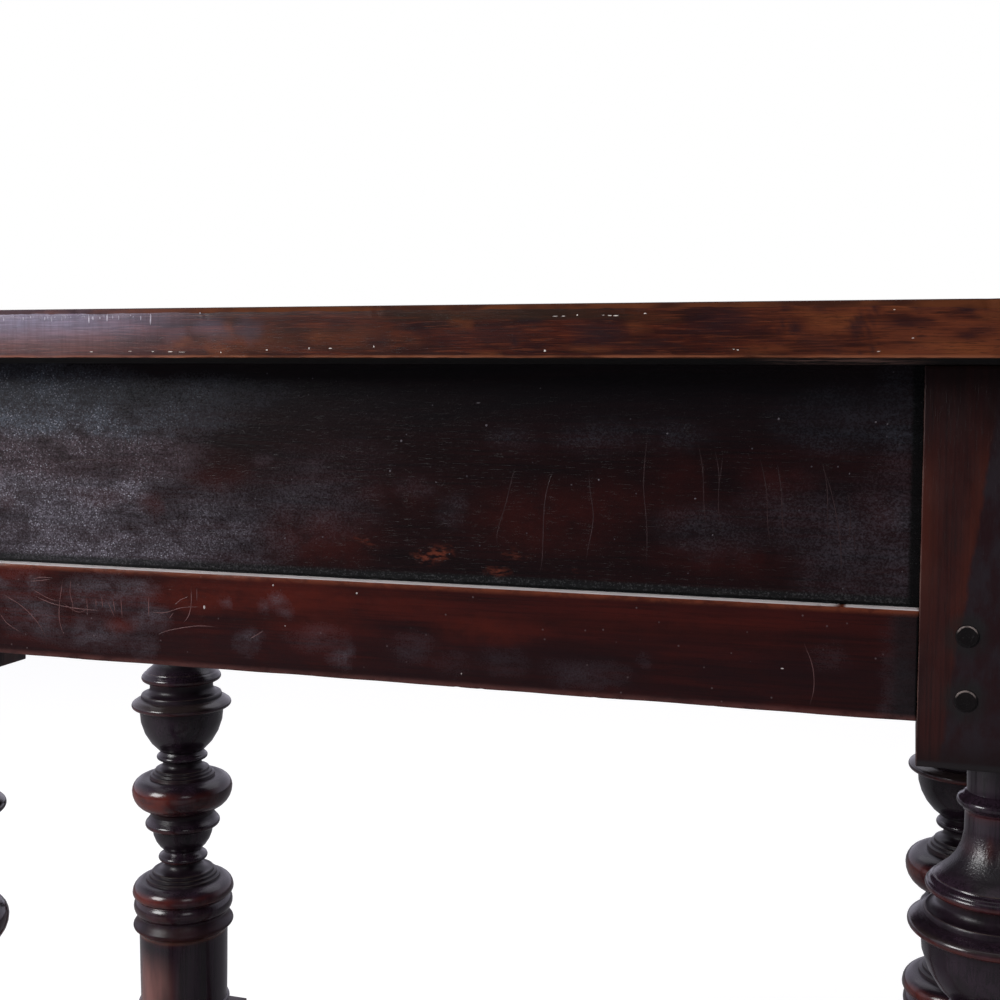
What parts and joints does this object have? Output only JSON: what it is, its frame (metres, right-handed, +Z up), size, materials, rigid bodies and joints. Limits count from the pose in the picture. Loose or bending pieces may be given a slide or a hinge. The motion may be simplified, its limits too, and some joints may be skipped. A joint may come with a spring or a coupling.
{
  "type": "communion table",
  "caption": "Joined dark wood table with an overhanging plank top, a set-back frieze over pegged rails, turned legs, stretchers and ball feet.",
  "frame": {"origin": "on the floor under the middle of the table", "axes": "+X along the length of the table to its right end, -Y out of the front, +Z up"},
  "size_m": [0.9284, 0.5114, 0.8],
  "materials": {
    "top_wood": "waxed reddish brown boards with worn orange-brown edges",
    "frame_wood": "dark polished boards with a black patina and a red undertone",
    "turned_wood": "glossy dark polish, black in the hollows and red on the high parts",
    "peg_wood": "dark end grain, rubbed smooth",
    "inner_wood": "plain planed wood, never polished"
  },
  "bodies": {
    "root": {"leg_front_left": "turned_wood", "foot_front_left": "turned_wood", "leg_front_right": "turned_wood", "foot_front_right": "turned_wood", "leg_back_left": "turned_wood", "foot_back_left": "turned_wood", "leg_back_right": "turned_wood", "foot_back_right": "turned_wood", "rail_front": "frame_wood", "frieze_front": "frame_wood", "stretcher_front": "frame_wood", "rail_pegs_front": "peg_wood", "rail_back": "frame_wood", "frieze_back": "frame_wood", "stretcher_back": "frame_wood", "rail_pegs_back": "peg_wood", "rail_left": "frame_wood", "frieze_left": "frame_wood", "stretcher_left": "frame_wood", "rail_pegs_left": "peg_wood", "rail_right": "frame_wood", "frieze_right": "frame_wood", "stretcher_right": "frame_wood", "rail_pegs_right": "peg_wood", "stretcher_pegs": "peg_wood", "top_pegs": "peg_wood", "top_board_front": "top_wood", "top_board_middle": "top_wood", "top_board_back": "top_wood", "top_tongue_front": "inner_wood", "top_tongue_back": "inner_wood", "top_bearer_left": "inner_wood", "top_bearer_right": "inner_wood"}
  },
  "joints": []
}
